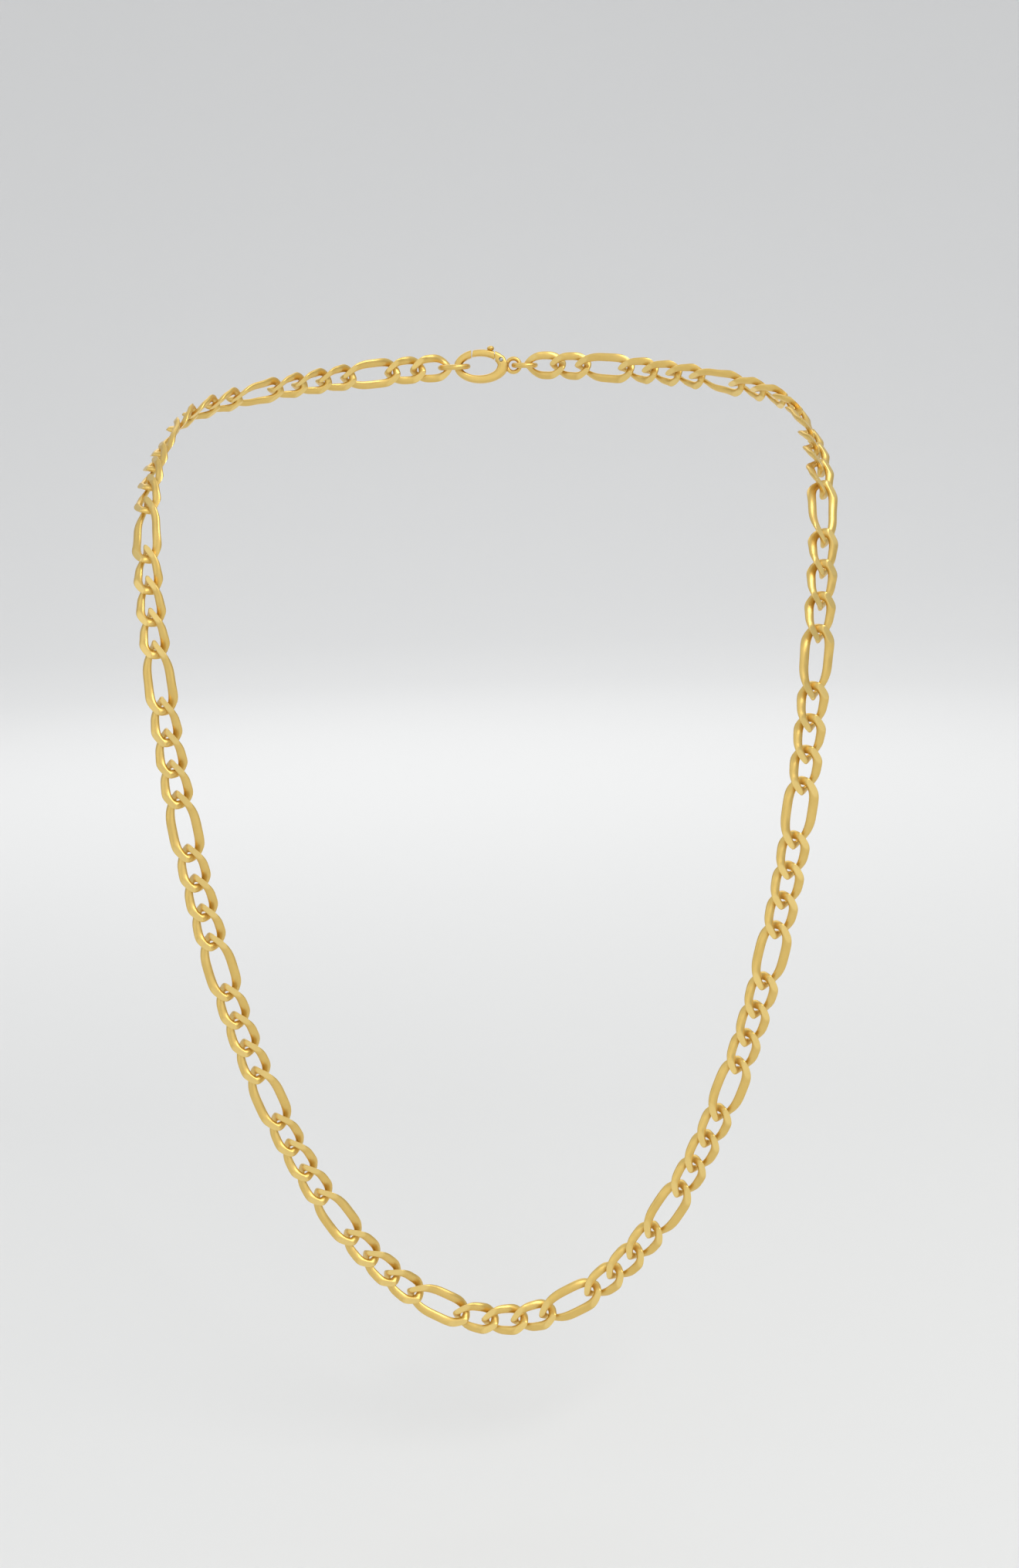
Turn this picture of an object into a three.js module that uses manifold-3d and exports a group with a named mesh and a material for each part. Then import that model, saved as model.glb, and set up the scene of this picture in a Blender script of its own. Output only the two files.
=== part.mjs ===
// Chain necklace: a flat figaro chain (three short links, then one long link) that closes with a
// lobster clasp. It is modelled as it is worn: over both shoulders, down the chest and round the nape.
// Millimetres, +Z up, the front of the necklace faces -Y. The origin is the middle of the neck,
// level with the tops of the shoulders. Lengths along the chain are signed: 0 is the middle of the
// front, positive runs up the wearer's left (+X), negative up the wearer's right, and both end at the nape.
import * as THREE from "three";
import { mergeVertices } from "three/addons/utils/BufferGeometryUtils.js";
import Module from "manifold-3d";

// Chain pattern: links are numbered from the middle of the front, and every fourth one is long.
const LAST_LINK = 40; // on each side of the middle link
const LAST_HANGING_LINK = 25; // the links past this one lie on the shoulders and the neck
const PATTERN = 4;
const LONG_PLACE = 2;

// Link sizes
const SHORT_PITCH = 6.16;
const LONG_PITCH = 10.84;
const SHORT_WIDTH = 6.3;
const LONG_WIDTH = 7;
const WIRE_AT_ENDS = 1.7;
const SHORT_WIRE_AT_SIDES = 1.8;
const LONG_WIRE_AT_SIDES = 1.9;
const WIRE_THICKNESS = 1.1;
const LINK_SLACK = 0.3;
const OUTLINE_POWER = 2.6; // 2 is an ellipse, more is squarer
const END_TWIST = THREE.MathUtils.degToRad(47);
// How the twist gathers towards a link's ends: 1 is even along the link, more leaves the middle flatter
const SHORT_TWIST_POWER = 1.4;
const LONG_TWIST_POWER = 2.2;
const FACE_HEIGHT = 1.05; // both faces of the finished chain are filed flat at this height

// Drape: the bends of one half, from the middle of the front over the shoulder to the nape. The front
// hangs in one upright plane, so that it is in balance under its own weight.
const FRONT_DROP = 186;
const FRONT_DEPTH = 36;
const BOTTOM_BEND = 31;
const CHEST_BEND = new THREE.Vector3(56.4, -FRONT_DEPTH, -133);
const CHEST = new THREE.Vector3(62, -FRONT_DEPTH, -56.6);
const CHEST_CARRY = 0.62; // how far the bend at CHEST carries on into the upper chest
const COLLAR_BEND = new THREE.Vector3(67.3, -10.8, -8.9);
const SHOULDER = new THREE.Vector3(64.5, 0, 0);
const SHOULDER_CARRY = 0.66;
const NAPE_DEPTH = 39.9;
const NAPE_RISE = 14;
const NAPE_BEND = 33;
// The way the chain's face looks at even steps from the middle of the front to the nape
const FACE_DIRECTIONS = [
  [0, -1, 0.2],
  [0.02, -1, 0.12],
  [0.1, -1, 0.25],
  [0.5, -0.8, 0.45],
  [0.75, 0.1, 0.65],
  [0, 1, 0],
];

// Clasp, along its own length from the eye (-) to the hook (+)
const CLASP_THICKNESS = 2.6;
const CLASP_HALF_LENGTH = 7; // between the places where the two rings pull on it
const EYE_AT = -5.95;
const EYE_RADIUS = 2;
const EYE_HOLE_RADIUS = 1.05;
const EYE_THICKNESS = 1.3;
const CLAW = { at: 1.6, length: 6.35, width: 3.9 };
const MOUTH = { at: 2, length: 4.15, width: 2.05 };
const GATE_FROM = -1.7;
const GATE_TO = 3.9;
const GATE_GAP = 0.22;
const GATE_THICKNESS = 2.2;
const GATE_REACH = 6.85; // from the pin to the gate's tip, which swings in past the end of the hook
const PIVOT = new THREE.Vector2(-3.1, 1.3);
const PIN_RADIUS = 0.42;
const PIN_HOLE_RADIUS = 0.52;
const PIN_LENGTH = 2.5;
const KNUCKLE_RADIUS = 1.05;
const SLOT_RADIUS = 1.4;
const SLOT_HALF = 0.85;
const KNUCKLE_FROM = -0.75;
const KNUCKLE_THICKNESS = 1;
const THUMB_TAB = { x: -0.7, y: 3.95, radius: 0.85 };
const SPRING_WIRE = 0.2;
const SPRING_RADIUS = 0.82;
const SPRING_TURNS = 1.25;
const SPRING_FROM = 0.42;
const SPRING_RISE = 0.25;
const JUMP_RING = { bore: 4, wire: 1.1 };
const END_RING = { bore: 5.25, wire: 1.2 };
const RING_PLAY = 0.15;

// Mesh steps
const LINK_STEPS = 16;
const LINK_SIDES = 6;
const RUN_STEPS = 12;
const RUN_SIDES = 4;
const JOINT_RADIUS = 0.8; // of the bead that joins two links of a neck run
const RING_STEPS = 16;
const RING_SIDES = 6;
const ROUND_STEPS = 12;
const UNIT_TUBE = 0.25;

const GOLD = { color: 0xd9a83a, roughness: 0.22, metalness: 1 };
const STEEL = { color: 0xb8bcc0, roughness: 0.35, metalness: 1 };

const wasm = await Module();
wasm.setup();
const { Manifold, Mesh: ManifoldMesh } = wasm;

function merged(geometry) {
  geometry.deleteAttribute("normal");
  geometry.deleteAttribute("uv");
  return mergeVertices(geometry, 1e-4);
}

function solidOf(geometry) {
  const closed = merged(geometry);
  return new Manifold(
    new ManifoldMesh({
      numProp: 3,
      vertProperties: closed.attributes.position.array,
      triVerts: new Uint32Array(closed.index.array),
    }),
  );
}

function geometryOf(solid) {
  const mesh = solid.getMesh();
  const geometry = new THREE.BufferGeometry();
  geometry.setAttribute("position", new THREE.BufferAttribute(mesh.vertProperties, 3));
  geometry.setIndex(new THREE.BufferAttribute(mesh.triVerts, 1));
  const flat = geometry.toNonIndexed();
  flat.computeVertexNormals();
  return flat;
}

// The chain's path

function halfPath() {
  const bottom = new THREE.Vector3(0, -FRONT_DEPTH, -FRONT_DROP);
  const bottomBend = bottom.clone().setX(BOTTOM_BEND);
  const upperChestBend = CHEST.clone().addScaledVector(CHEST.clone().sub(CHEST_BEND), CHEST_CARRY);
  const backBend = SHOULDER.clone().addScaledVector(SHOULDER.clone().sub(COLLAR_BEND), SHOULDER_CARRY);
  const nape = new THREE.Vector3(0, NAPE_DEPTH, NAPE_RISE);
  const path = new THREE.CurvePath();
  path.add(new THREE.CubicBezierCurve3(bottom, bottomBend, CHEST_BEND, CHEST));
  path.add(new THREE.CubicBezierCurve3(CHEST, upperChestBend, COLLAR_BEND, SHOULDER));
  path.add(new THREE.CubicBezierCurve3(SHOULDER, backBend, nape.clone().setX(NAPE_BEND), nape));
  path.curves.forEach((curve) => (curve.arcLengthDivisions = 400));
  return path;
}

const path = halfPath();
const halfLength = path.getLength();
const faces = new THREE.CatmullRomCurve3(FACE_DIRECTIONS.map((d) => new THREE.Vector3(...d)));

function pointAt(along) {
  const point = path.getPoint(Math.min(Math.abs(along) / halfLength, 1));
  if (along < 0) point.x = -point.x;
  return point;
}

function faceAt(along) {
  const face = faces.getPoint(Math.min(Math.abs(along) / halfLength, 1));
  if (along < 0) face.x = -face.x;
  return face;
}

// The place of a piece that spans the chain between two lengths: x along the chain, y across it
// towards the inside of the loop, z out of its face.
function placeBetween(from, to) {
  const start = pointAt(from);
  const end = pointAt(to);
  const along = end.clone().sub(start).normalize();
  const across = new THREE.Vector3().crossVectors(faceAt((from + to) / 2), along).normalize();
  const out = new THREE.Vector3().crossVectors(along, across);
  const middle = start.add(end).multiplyScalar(0.5);
  return new THREE.Matrix4().makeBasis(along, across, out).setPosition(middle);
}

// Links

function linkSize(number) {
  const long = Math.abs(number) % PATTERN === LONG_PLACE;
  return long
    ? { pitch: LONG_PITCH, width: LONG_WIDTH, side: LONG_WIRE_AT_SIDES, twistPower: LONG_TWIST_POWER }
    : { pitch: SHORT_PITCH, width: SHORT_WIDTH, side: SHORT_WIRE_AT_SIDES, twistPower: SHORT_TWIST_POWER };
}

function roundedPower(value) {
  return Math.sign(value) * Math.abs(value) ** (2 / OUTLINE_POWER);
}

// A link as it is made: wire bent into a flat oval, twisted about its length, both faces filed flat.
function linkGeometry(size, steps, sides) {
  const ring = new THREE.TorusGeometry(1, UNIT_TUBE, sides, steps);
  const position = ring.getAttribute("position");
  const halfLong = (size.pitch + LINK_SLACK + WIRE_AT_ENDS) / 2;
  const halfWide = (size.width - size.side) / 2;
  for (let i = 0; i < position.count; i++) {
    const x = position.getX(i);
    const y = position.getY(i);
    const turn = Math.atan2(y, x);
    const outward = (Math.hypot(x, y) - 1) / UNIT_TUBE;
    const lift = position.getZ(i) / UNIT_TUBE;
    const wire = THREE.MathUtils.lerp(WIRE_AT_ENDS, size.side, Math.sin(turn) ** 2);
    const normal = new THREE.Vector2(Math.cos(turn) / halfLong, Math.sin(turn) / halfWide).normalize();
    const along = halfLong * roundedPower(Math.cos(turn)) + (normal.x * outward * wire) / 2;
    const across = halfWide * roundedPower(Math.sin(turn)) + (normal.y * outward * wire) / 2;
    const height = (lift * WIRE_THICKNESS) / 2;
    const reach = along / halfLong;
    const twist = -END_TWIST * Math.sign(reach) * Math.abs(reach) ** size.twistPower;
    const twistedAcross = across * Math.cos(twist) - height * Math.sin(twist);
    const twistedHeight = across * Math.sin(twist) + height * Math.cos(twist);
    const filed = THREE.MathUtils.clamp(twistedHeight, -FACE_HEIGHT, FACE_HEIGHT);
    position.setXYZ(i, along, twistedAcross, filed);
  }
  return merged(ring);
}

// The chain lengths at which each link meets its two neighbours.
function linkSpans() {
  const spans = new Map();
  let reached = SHORT_PITCH / 2;
  spans.set(0, [-reached, reached]);
  for (let number = 1; number <= LAST_LINK; number++) {
    const next = reached + linkSize(number).pitch;
    spans.set(number, [reached, next]);
    spans.set(-number, [-next, -reached]);
    reached = next;
  }
  return spans;
}

function mesh(name, geometry, finish, place) {
  const made = new THREE.Mesh(geometry, new THREE.MeshStandardMaterial(finish));
  made.name = name;
  made.applyMatrix4(place);
  return made;
}

// Links are named down each side from the shoulder to the middle of the front.
function linkName(number) {
  if (number === 0) return "middle_link";
  const side = number < 0 ? "right" : "left";
  const order = LAST_HANGING_LINK + 1 - Math.abs(number);
  return `${side}_link_${String(order).padStart(2, "0")}`;
}

function hangingLinks(spans) {
  const links = new THREE.Group();
  for (let number = -LAST_HANGING_LINK; number <= LAST_HANGING_LINK; number++) {
    const geometry = linkGeometry(linkSize(number), LINK_STEPS, LINK_SIDES);
    links.add(mesh(linkName(number), geometry, GOLD, placeBetween(...spans.get(number))));
  }
  return links;
}

function joiningBead(along) {
  const { x, y, z } = pointAt(along);
  return solidOf(new THREE.OctahedronGeometry(JOINT_RADIUS).translate(x, y, z));
}

// One side's links that lie on the shoulder and the neck, joined into one piece.
function neckRun(name, side, spans) {
  const pieces = [];
  for (let order = LAST_HANGING_LINK + 1; order <= LAST_LINK; order++) {
    const number = side * order;
    const geometry = linkGeometry(linkSize(number), RUN_STEPS, RUN_SIDES);
    pieces.push(solidOf(geometry.applyMatrix4(placeBetween(...spans.get(number)))));
    if (order < LAST_LINK) pieces.push(joiningBead(side * spans.get(order)[1]));
  }
  const joined = pieces.reduce((all, piece) => all.add(piece));
  return mesh(name, geometryOf(joined), GOLD, new THREE.Matrix4());
}

// Clasp: shapes are drawn in its flat plane (x along it, y across) and stand up in z.

function plate(shape, thickness, from = -thickness / 2) {
  const settings = { depth: thickness, bevelEnabled: false, curveSegments: ROUND_STEPS };
  return solidOf(new THREE.ExtrudeGeometry(shape, settings).translate(0, 0, from));
}

function oval(x, y, halfLong, halfWide) {
  const shape = new THREE.Shape();
  shape.absellipse(x, y, halfLong, halfWide, 0, 2 * Math.PI, false, 0);
  return shape;
}

function rectangle(x0, y0, x1, y1) {
  return new THREE.Shape([
    new THREE.Vector2(x0, y0),
    new THREE.Vector2(x1, y0),
    new THREE.Vector2(x1, y1),
    new THREE.Vector2(x0, y1),
  ]);
}

function pinHole() {
  return plate(oval(PIVOT.x, PIVOT.y, PIN_HOLE_RADIUS, PIN_HOLE_RADIUS), 2 * CLASP_THICKNESS);
}

function claspBody() {
  const claw = plate(oval(CLAW.at, 0, CLAW.length, CLAW.width), CLASP_THICKNESS);
  const eye = plate(oval(EYE_AT, 0, EYE_RADIUS, EYE_RADIUS), EYE_THICKNESS);
  const mouth = plate(oval(MOUTH.at, 0, MOUTH.length, MOUTH.width), 2 * CLASP_THICKNESS);
  const eyeHole = plate(oval(EYE_AT, 0, EYE_HOLE_RADIUS, EYE_HOLE_RADIUS), 2 * CLASP_THICKNESS);
  const gateway = plate(rectangle(GATE_FROM, 0.2, GATE_TO, 2 * CLAW.width), 2 * CLASP_THICKNESS);
  const slot = plate(oval(PIVOT.x, PIVOT.y, SLOT_RADIUS, SLOT_RADIUS), 2 * SLOT_HALF);
  const slotMouth = plate(
    rectangle(PIVOT.x, PIVOT.y - SLOT_RADIUS, GATE_FROM + 0.1, PIVOT.y + SLOT_RADIUS),
    2 * SLOT_HALF,
  );
  return [mouth, eyeHole, gateway, slot, slotMouth, pinHole()].reduce(
    (left, cut) => left.subtract(cut),
    claw.add(eye),
  );
}

// The gate is the missing stretch of the claw. Its knuckle turns on the pin inside the body's slot.
function claspGate() {
  const from = GATE_FROM + GATE_GAP;
  const to = GATE_TO - GATE_GAP;
  const outside = oval(CLAW.at, 0, CLAW.length - 0.15, CLAW.width - 0.15);
  const bar = plate(outside, GATE_THICKNESS)
    .intersect(plate(rectangle(from, 0.5, to, 2 * CLAW.width), GATE_THICKNESS))
    .intersect(plate(oval(PIVOT.x, PIVOT.y, GATE_REACH, GATE_REACH), GATE_THICKNESS))
    .subtract(plate(oval(MOUTH.at, 0, MOUTH.length + 0.15, MOUTH.width), 2 * CLASP_THICKNESS));
  const tab = plate(oval(THUMB_TAB.x, THUMB_TAB.y, THUMB_TAB.radius, 0.7 * THUMB_TAB.radius), GATE_THICKNESS);
  const knuckle = plate(
    oval(PIVOT.x, PIVOT.y, KNUCKLE_RADIUS, KNUCKLE_RADIUS),
    KNUCKLE_THICKNESS,
    KNUCKLE_FROM,
  );
  const arm = plate(
    new THREE.Shape([
      new THREE.Vector2(PIVOT.x, PIVOT.y - 0.2),
      new THREE.Vector2(from + 0.5, PIVOT.y + 0.6),
      new THREE.Vector2(from + 0.5, PIVOT.y + 1.3),
      new THREE.Vector2(PIVOT.x, PIVOT.y + KNUCKLE_RADIUS),
    ]),
    KNUCKLE_THICKNESS,
    KNUCKLE_FROM,
  );
  return bar.add(tab).add(knuckle).add(arm).subtract(pinHole());
}

function claspPin() {
  const pin = new THREE.CylinderGeometry(PIN_RADIUS, PIN_RADIUS, PIN_LENGTH, ROUND_STEPS);
  return pin.rotateX(Math.PI / 2).translate(PIVOT.x, PIVOT.y, 0);
}

// A torsion spring round the pin, beside the gate's knuckle.
class SpringCoil extends THREE.Curve {
  getPoint(t, target = new THREE.Vector3()) {
    const turn = 2 * Math.PI * SPRING_TURNS * t;
    const x = PIVOT.x + SPRING_RADIUS * Math.cos(turn);
    const y = PIVOT.y + SPRING_RADIUS * Math.sin(turn);
    return target.set(x, y, SPRING_FROM + SPRING_RISE * t);
  }
}

function claspSpring() {
  const wire = new THREE.Shape();
  wire.absellipse(0, 0, SPRING_WIRE / 2, SPRING_WIRE / 2, 0, 2 * Math.PI, false, 0);
  const settings = { steps: 20, curveSegments: 3, extrudePath: new SpringCoil() };
  return new THREE.ExtrudeGeometry(wire, settings);
}

// A ring through the links' openings: it lies along the chain and stands out of its face.
function ringGeometry(ring) {
  const middle = (ring.bore + ring.wire) / 2;
  return merged(new THREE.TorusGeometry(middle, ring.wire / 2, RING_SIDES, RING_STEPS).rotateX(Math.PI / 2));
}

// Rings hold their links with a little play, so each starts just short of where its link's wire ends.
function ringPlace(ring, side, reach) {
  const from = reach - RING_PLAY;
  const to = from + ring.bore;
  return side > 0 ? placeBetween(from, to) : placeBetween(-to, -from);
}

function claspPieces(reach) {
  const nape = new THREE.Matrix4().makeBasis(
    new THREE.Vector3(-1, 0, 0),
    new THREE.Vector3(0, 0, 1),
    new THREE.Vector3(0, 1, 0),
  );
  nape.setPosition(pointAt(halfLength - CLASP_HALF_LENGTH).setX(0));
  const pieces = new THREE.Group();
  pieces.add(mesh("clasp_ring", ringGeometry(JUMP_RING), GOLD, ringPlace(JUMP_RING, 1, reach)));
  pieces.add(mesh("clasp_body", geometryOf(claspBody()), GOLD, nape));
  pieces.add(mesh("clasp_gate", geometryOf(claspGate()), GOLD, nape));
  pieces.add(mesh("clasp_pin", claspPin(), STEEL, nape));
  pieces.add(mesh("clasp_spring", claspSpring(), STEEL, nape));
  pieces.add(mesh("end_ring", ringGeometry(END_RING), GOLD, ringPlace(END_RING, -1, reach)));
  return pieces;
}

function buildNecklace() {
  const spans = linkSpans();
  const necklace = new THREE.Group();
  necklace.add(hangingLinks(spans));
  necklace.add(neckRun("left_neck_run", 1, spans));
  necklace.add(neckRun("right_neck_run", -1, spans));
  necklace.add(claspPieces(spans.get(LAST_LINK)[1]));
  return necklace;
}

export default buildNecklace();
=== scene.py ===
"""Looks of the chain necklace: a flat figaro chain of short and long curb links, closed by a lobster clasp.

Sizes are in millimetres, as a goldsmith would give them, and MM turns them into metres.
"""

from __future__ import annotations

import logging
import math
from dataclasses import dataclass, field
from enum import Enum
from typing import Callable, ClassVar, Iterable, Sequence

import bmesh
import bpy
import numpy as np
from mathutils import Matrix, Vector


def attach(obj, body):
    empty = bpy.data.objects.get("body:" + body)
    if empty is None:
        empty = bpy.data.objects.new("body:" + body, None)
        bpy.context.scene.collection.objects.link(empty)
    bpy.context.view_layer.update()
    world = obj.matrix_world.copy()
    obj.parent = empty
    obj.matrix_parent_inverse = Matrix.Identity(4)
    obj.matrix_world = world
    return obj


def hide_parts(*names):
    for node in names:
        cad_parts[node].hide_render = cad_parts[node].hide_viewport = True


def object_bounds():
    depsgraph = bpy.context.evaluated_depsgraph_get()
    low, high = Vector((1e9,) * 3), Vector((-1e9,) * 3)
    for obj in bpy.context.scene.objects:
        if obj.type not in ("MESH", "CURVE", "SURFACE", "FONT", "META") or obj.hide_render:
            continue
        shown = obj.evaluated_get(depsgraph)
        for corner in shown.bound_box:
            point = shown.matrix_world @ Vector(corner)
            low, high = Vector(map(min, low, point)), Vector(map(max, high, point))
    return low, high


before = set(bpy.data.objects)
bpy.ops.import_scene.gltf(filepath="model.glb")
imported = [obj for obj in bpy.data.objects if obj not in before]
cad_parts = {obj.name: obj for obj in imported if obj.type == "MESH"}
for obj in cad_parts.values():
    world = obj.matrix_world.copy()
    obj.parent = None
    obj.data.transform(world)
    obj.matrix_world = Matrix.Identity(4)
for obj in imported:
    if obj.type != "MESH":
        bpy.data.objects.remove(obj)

MM = 0.001
WELD = 1e-7
CAD_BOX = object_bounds()
LOG = logging.getLogger("necklace")


class Side(Enum):
    """The wearer's two sides, as signs along the chain."""

    LEFT = 1
    RIGHT = -1


class LinkKind(Enum):
    """The two lengths of link in the figaro pattern."""

    SHORT = "short"
    LONG = "long"


class Graph:
    """Writes nodes into a node tree, and joins them up."""

    def __init__(self, tree: bpy.types.NodeTree) -> None:
        """Wraps a tree.

        Args:
            tree: the node tree that is written to.
        """
        self.tree = tree

    def node(self, kind: str, inputs: dict | None = None, **settings: object) -> bpy.types.Node:
        """Adds one node.

        Args:
            kind: the node's type.
            inputs: values or sockets for its inputs, by name or number.
            settings: the node's own properties.

        Returns:
            The new node.
        """
        made = self.tree.nodes.new(kind)
        for key, value in settings.items():
            setattr(made, key, value)
        for key, value in (inputs or {}).items():
            self.feed(made.inputs[key], value)
        return made

    def feed(self, socket: bpy.types.NodeSocket, value: object) -> None:
        """Joins a socket to another, or sets its value.

        Args:
            socket: the input socket.
            value: an output socket, or a plain value.
        """
        if isinstance(value, bpy.types.NodeSocket):
            self.tree.links.new(value, socket)
        else:
            socket.default_value = value

    def math(self, operation: str, *values: object) -> bpy.types.NodeSocket:
        """Adds one step of arithmetic.

        Args:
            operation: what it does with the values.
            values: numbers or sockets.

        Returns:
            The result's socket.
        """
        made = self.node("ShaderNodeMath", operation=operation)
        for socket, value in zip(made.inputs, values):
            self.feed(socket, value)
        return made.outputs[0]

    def times(self, first: object, second: object) -> bpy.types.NodeSocket:
        """Multiplies two numbers or sockets."""
        return self.math("MULTIPLY", first, second)

    def inputs_of_group(self, sockets: Sequence[tuple[str, str, object]]) -> bpy.types.Node:
        """Declares a group's inputs.

        Args:
            sockets: name, socket type and default of each.

        Returns:
            The group input node.
        """
        for name, kind, default in sockets:
            made = self.tree.interface.new_socket(name=name, in_out="INPUT", socket_type=kind)
            if default is not None:
                made.default_value = default
        return self.node("NodeGroupInput")

    def outputs_of_group(self, sockets: Sequence[tuple[str, str, object]]) -> None:
        """Declares a group's outputs and joins them.

        Args:
            sockets: name, socket type and source of each.
        """
        for name, kind, _ in sockets:
            self.tree.interface.new_socket(name=name, in_out="OUTPUT", socket_type=kind)
        end = self.node("NodeGroupOutput")
        for name, _, source in sockets:
            self.feed(end.inputs[name], source)


@dataclass(frozen=True)
class Drape:
    """The line that the chain lies on, from the middle of the front over a shoulder to the nape."""

    front_drop: float = 186
    front_depth: float = 36
    bottom_bend: float = 31
    chest_bend: tuple[float, float, float] = (56.4, -36, -133)
    chest: tuple[float, float, float] = (62, -36, -56.6)
    chest_carry: float = 0.62
    collar_bend: tuple[float, float, float] = (67.3, -10.8, -8.9)
    shoulder: tuple[float, float, float] = (64.5, 0, 0)
    shoulder_carry: float = 0.66
    nape_depth: float = 39.9
    nape_rise: float = 14
    nape_bend: float = 33
    faces: tuple[tuple[float, float, float], ...] = (
        (0, -1, 0.2),
        (0.02, -1, 0.12),
        (0.1, -1, 0.25),
        (0.5, -0.8, 0.45),
        (0.75, 0.1, 0.65),
        (0, 1, 0),
    )
    samples: int = 1500

    def bends(self) -> list[tuple[np.ndarray, np.ndarray, np.ndarray, np.ndarray]]:
        """Works out the line's three bends: the front, the rise to the shoulder, and the back.

        Returns:
            The four control points of each.
        """
        bottom = np.array((0, -self.front_depth, -self.front_drop), float)
        bottom_bend = bottom + (self.bottom_bend, 0, 0)
        chest_bend, chest = np.array(self.chest_bend, float), np.array(self.chest, float)
        collar, shoulder = np.array(self.collar_bend, float), np.array(self.shoulder, float)
        upper = chest + (chest - chest_bend) * self.chest_carry
        back = shoulder + (shoulder - collar) * self.shoulder_carry
        nape = np.array((0, self.nape_depth, self.nape_rise), float)
        nape_bend = nape + (self.nape_bend, 0, 0)
        return [
            (bottom, bottom_bend, chest_bend, chest),
            (chest, upper, collar, shoulder),
            (shoulder, back, nape_bend, nape),
        ]

    def line(self) -> tuple[np.ndarray, np.ndarray]:
        """Samples the half line.

        Returns:
            The length reached at each sample, and the samples.
        """
        t = np.linspace(0, 1, self.samples)[:, None]
        parts = [
            (1 - t) ** 3 * a + 3 * (1 - t) ** 2 * t * b + 3 * (1 - t) * t**2 * c + t**3 * d
            for a, b, c, d in self.bends()
        ]
        points = np.concatenate([parts[0], parts[1][1:], parts[2][1:]])
        steps = np.linalg.norm(np.diff(points, axis=0), axis=1)
        return np.concatenate([[0], np.cumsum(steps)]), points

    def half_length(self) -> float:
        """Gives the length from the middle of the front to the nape."""
        return float(self.line()[0][-1])

    def point(self, along: float) -> Vector:
        """Gives the place at a signed length along the chain.

        Args:
            along: millimetres from the middle of the front, positive to the wearer's left.

        Returns:
            The place, in millimetres.
        """
        reached, points = self.line()
        at = min(abs(along), reached[-1])
        x, y, z = (float(np.interp(at, reached, points[:, axis])) for axis in range(3))
        return Vector((math.copysign(x, along), y, z))

    def face(self, along: float) -> Vector:
        """Gives the way that the chain's face looks at a signed length along it.

        Args:
            along: millimetres from the middle of the front.

        Returns:
            A direction, not of unit length.
        """
        share = min(abs(along) / self.half_length(), 1)
        ways = [Vector(way) for way in self.faces]
        place = share * (len(ways) - 1)
        first = min(int(place), len(ways) - 2)
        inside = place - first
        a, b = ways[first], ways[first + 1]
        before = ways[first - 1] if first else 2 * a - b
        after = ways[first + 2] if first + 2 < len(ways) else 2 * b - a
        pairs = ((before, a), (a, b), (b, after))
        gap_before, gap, gap_after = (math.sqrt((q - p).length) for p, q in pairs)
        leave = (a - before) / gap_before - (b - before) / (gap_before + gap) + (b - a) / gap
        arrive = (b - a) / gap - (after - a) / (gap + gap_after) + (after - b) / gap_after
        leave, arrive = leave * gap, arrive * gap
        bend = 3 * (b - a) - 2 * leave - arrive
        close = 2 * (a - b) + leave + arrive
        way = a + inside * leave + inside**2 * bend + inside**3 * close
        return Vector((math.copysign(1, along) * way.x, way.y, way.z))

    def between(self, start: float, end: float) -> Matrix:
        """Gives the place of a piece that spans two lengths of the chain.

        Args:
            start: where the piece begins along the chain.
            end: where it ends.

        Returns:
            Its place in millimetres: x along the chain, y across it, z out of its face.
        """
        first, last = self.point(start), self.point(end)
        along = (last - first).normalized()
        across = self.face((start + end) / 2).cross(along).normalized()
        return place_of(along, across, (first + last) / 2)


def place_of(along: Vector, across: Vector, middle: Vector) -> Matrix:
    """Makes a place from two directions and a point.

    Args:
        along: the piece's own x.
        across: the piece's own y.
        middle: where its middle is.

    Returns:
        The place, as a matrix.
    """
    made = Matrix((along, across, along.cross(across))).transposed().to_4x4()
    made.translation = middle
    return made


@dataclass(frozen=True)
class LinkSize:
    """Sizes of one kind of curb link."""

    pitch: float
    width: float
    side_wire: float
    twist_power: float


@dataclass(frozen=True)
class Finish:
    """A metal's finish: its colours, and how even its polish is."""

    name: str
    deep: tuple[float, float, float]
    bright: tuple[float, float, float]
    gloss: float
    dull: float
    scratch_height: float
    cloud: float = 260
    scratch: float = 5200


GOLD = Finish(
    "satin_gold", deep=(0.74, 0.5, 0.14), bright=(0.93, 0.7, 0.27), gloss=0.27, dull=0.48, scratch_height=0.35
)
STEEL = Finish(
    "spring_steel", deep=(0.42, 0.43, 0.45), bright=(0.6, 0.61, 0.63), gloss=0.28, dull=0.5, scratch_height=0.5
)


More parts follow.
